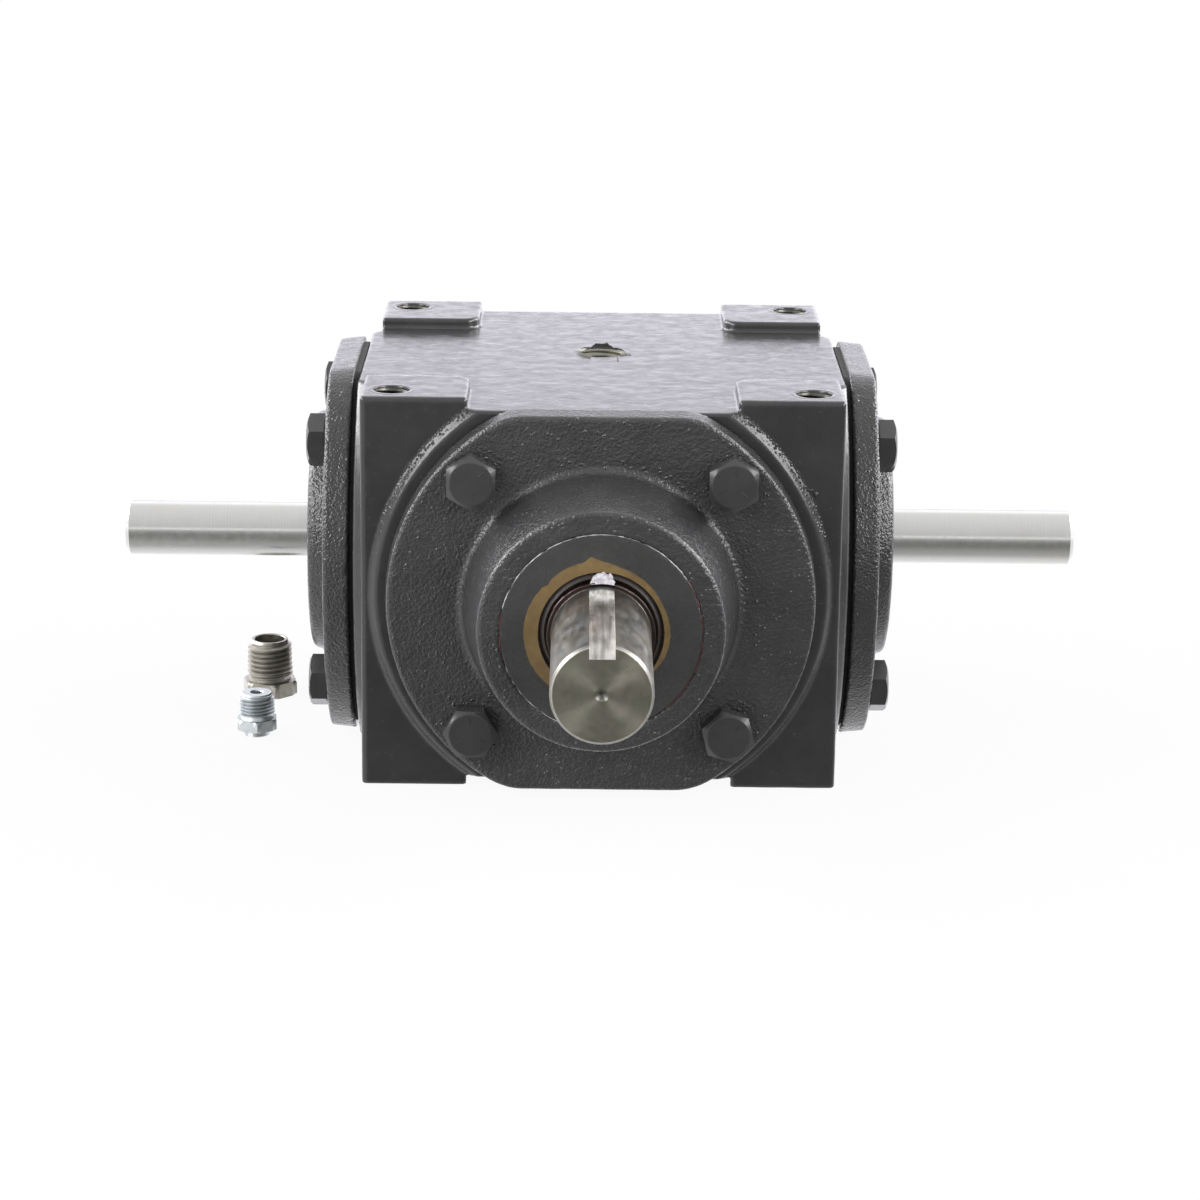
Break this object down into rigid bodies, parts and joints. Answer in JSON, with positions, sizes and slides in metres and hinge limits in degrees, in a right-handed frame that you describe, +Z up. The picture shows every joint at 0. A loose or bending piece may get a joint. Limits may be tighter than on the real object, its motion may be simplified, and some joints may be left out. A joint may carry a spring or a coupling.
{
  "type": "industrial gearbox",
  "caption": "Right-angle bevel gearbox: square black cast housing with bolted bearing covers, a keyed slow shaft at the front and a through fast shaft out of both sides.",
  "frame": {"origin": "centre of the four-hole foot pattern on the base plane, under the crossing of the two shaft axes", "axes": "+X out of the right end of the through shaft, -Y out of the keyed slow shaft, +Z up, square to the foot pads"},
  "size_m": [0.2666, 0.2207, 0.1064],
  "materials": {
    "housing_enamel": "semi-gloss charcoal enamel over a cast surface",
    "cover_enamel": "semi-gloss charcoal enamel over a cast surface",
    "bolt_enamel": "semi-gloss charcoal enamel over steel",
    "shim": "thin steel shims, dark edge",
    "plug": "painted pipe plug",
    "front_shaft_steel": "turned steel, oiled",
    "side_shaft_steel": "ground steel, lengthwise bands",
    "bushing_steel": "oiled grey steel",
    "zinc_plate": "zinc plated",
    "seal_case": "steel case, painted over except at the lip",
    "seal_rubber": "oil-resistant rubber",
    "spring_steel": "drawn spring wire",
    "bearing_steel": "ground bearing steel",
    "cage_steel": "pressed steel cage",
    "gear_steel": "cut and oiled gear steel",
    "plain_steel": "plain steel"
  },
  "bodies": {
    "case": {"housing": "housing_enamel", "front_cover": "cover_enamel", "left_cover": "cover_enamel", "right_cover": "cover_enamel", "front_cover_bolts": "bolt_enamel", "left_cover_bolts": "bolt_enamel", "right_cover_bolts": "bolt_enamel", "front_shims": "shim", "left_shims": "shim", "right_shims": "shim", "drain_plug": "plug", "level_plug": "plug", "front_seal_case": "seal_case", "front_seal_lip": "seal_rubber", "front_seal_spring": "spring_steel", "left_seal_case": "seal_case", "left_seal_lip": "seal_rubber", "left_seal_spring": "spring_steel", "right_seal_case": "seal_case", "right_seal_lip": "seal_rubber", "right_seal_spring": "spring_steel", "front_inner_bearing_cup": "bearing_steel", "front_outer_bearing_cup": "bearing_steel", "left_bearing_cup": "bearing_steel", "right_bearing_cup": "bearing_steel"},
    "slow_shaft": {"front_shaft": "front_shaft_steel", "large_bevel_gear": "gear_steel", "gear_key": "plain_steel", "front_spacer": "plain_steel", "gear_retaining_ring": "spring_steel", "bearing_retaining_ring": "spring_steel", "front_inner_bearing_cone": "bearing_steel", "front_outer_bearing_cone": "bearing_steel"},
    "fast_shaft": {"side_shaft": "side_shaft_steel", "bevel_pinion": "gear_steel", "pinion_key": "plain_steel", "pinion_spacer": "plain_steel", "left_bearing_cone": "bearing_steel", "right_bearing_cone": "bearing_steel"},
    "slow_roller_sets": {"front_inner_bearing_rollers": "bearing_steel", "front_inner_bearing_cage": "cage_steel", "front_outer_bearing_rollers": "bearing_steel", "front_outer_bearing_cage": "cage_steel"},
    "fast_roller_sets": {"left_bearing_rollers": "bearing_steel", "left_bearing_cage": "cage_steel", "right_bearing_rollers": "bearing_steel", "right_bearing_cage": "cage_steel"},
    "loose_bushing": {"reducer_bushing": "bushing_steel"},
    "loose_vent_plug": {"vent_plug": "zinc_plate", "vent_cap": "zinc_plate"}
  },
  "joints": [
    {"name": "slow_shaft_spin", "type": "hinge", "parent": "case", "child": "slow_shaft", "pos_m": [0, 0, 0.05318], "axis": [0, -1, 0], "continuous": true},
    {"name": "fast_shaft_spin", "type": "hinge", "parent": "case", "child": "fast_shaft", "pos_m": [0, 0, 0.05318], "axis": [1, 0, 0], "continuous": true},
    {"name": "slow_roller_spin", "type": "hinge", "parent": "case", "child": "slow_roller_sets", "pos_m": [0, 0, 0.05318], "axis": [0, -1, 0], "continuous": true},
    {"name": "fast_roller_spin", "type": "hinge", "parent": "case", "child": "fast_roller_sets", "pos_m": [0, 0, 0.05318], "axis": [1, 0, 0], "continuous": true},
    {"name": "bushing_lift", "type": "slide", "parent": "case", "child": "loose_bushing", "axis": [0, 0, 1], "range_m": [0, 0.025]},
    {"name": "vent_plug_lift", "type": "slide", "parent": "case", "child": "loose_vent_plug", "axis": [0, 0, 1], "range_m": [0, 0.025]}
  ],
  "couplings": [
    {"joint": "fast_shaft_spin", "follows": "slow_shaft_spin", "ratio": -2},
    {"joint": "slow_roller_spin", "follows": "slow_shaft_spin", "ratio": 0.43187},
    {"joint": "fast_roller_spin", "follows": "slow_shaft_spin", "ratio": -0.82339}
  ]
}
